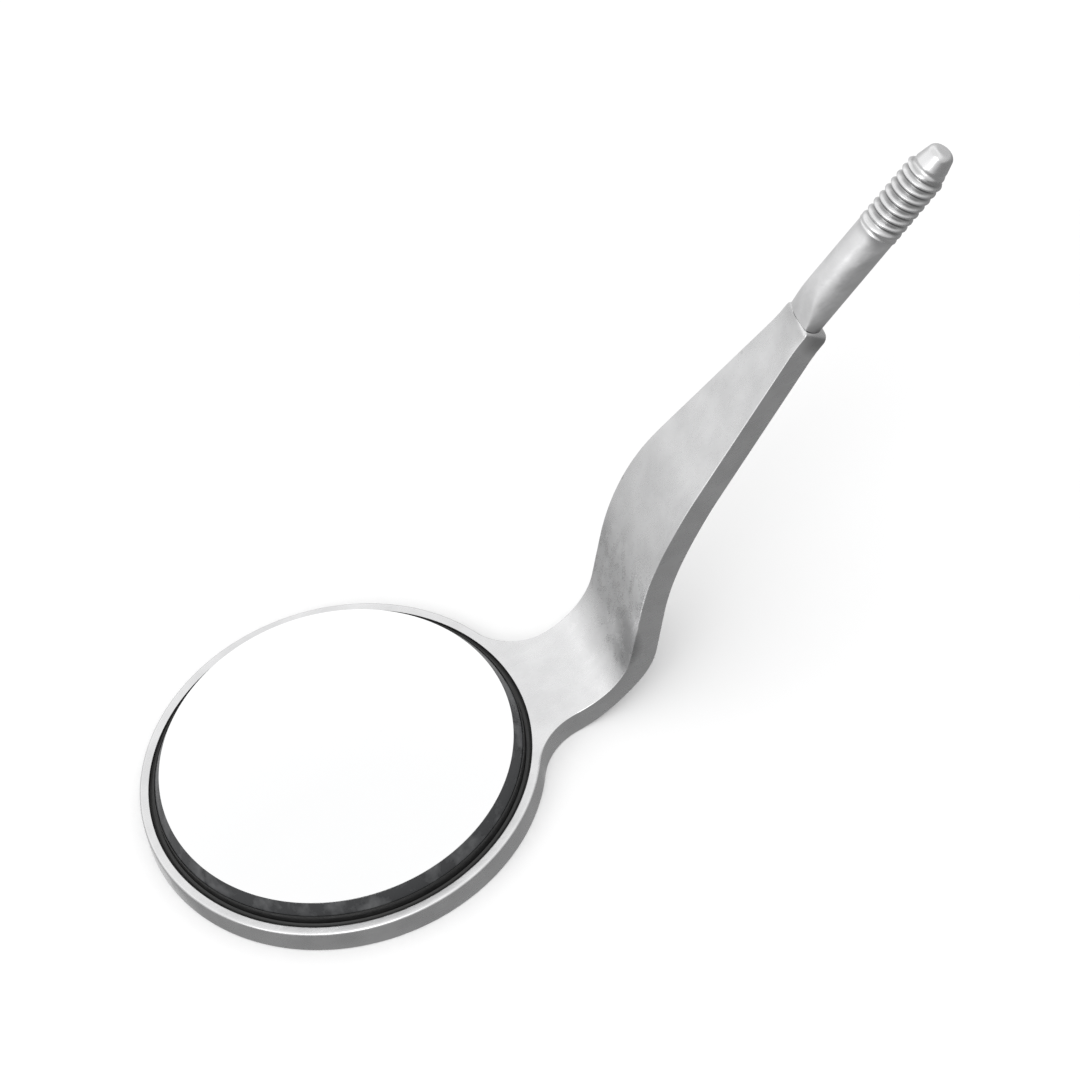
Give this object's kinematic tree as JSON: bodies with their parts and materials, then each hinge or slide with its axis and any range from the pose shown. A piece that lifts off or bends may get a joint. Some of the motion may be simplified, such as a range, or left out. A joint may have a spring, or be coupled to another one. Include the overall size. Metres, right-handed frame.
{
  "type": "dental mouth mirror",
  "caption": "Round bevelled mirror glass in a slim steel rim on an S-bent flat neck that ends in a slim threaded stem for a handle.",
  "frame": {"origin": "centre of the flat back of the round head, which lies on Z = 0", "axes": "+Z out of the mirror face, +X from the head's centre towards the neck and stem, +Y across the neck"},
  "size_m": [0.0624, 0.026, 0.036],
  "materials": {
    "frame_steel": "fine satin, lightly brushed along the neck",
    "stem_steel": "satin, turned and rolled thread",
    "adhesive": "cured dark adhesive",
    "backing_paint": "black paint",
    "bevelled_glass": "ground bevel, dark over the black backing",
    "mirror_face": "front-surface mirror coating",
    "seal": "black sealing bead"
  },
  "bodies": {
    "root": {"head_frame": "frame_steel", "threaded_stem": "stem_steel", "adhesive_bed": "adhesive", "backing_paint": "backing_paint", "mirror_glass": "bevelled_glass", "reflecting_coating": "mirror_face", "edge_seal": "seal"}
  },
  "joints": []
}
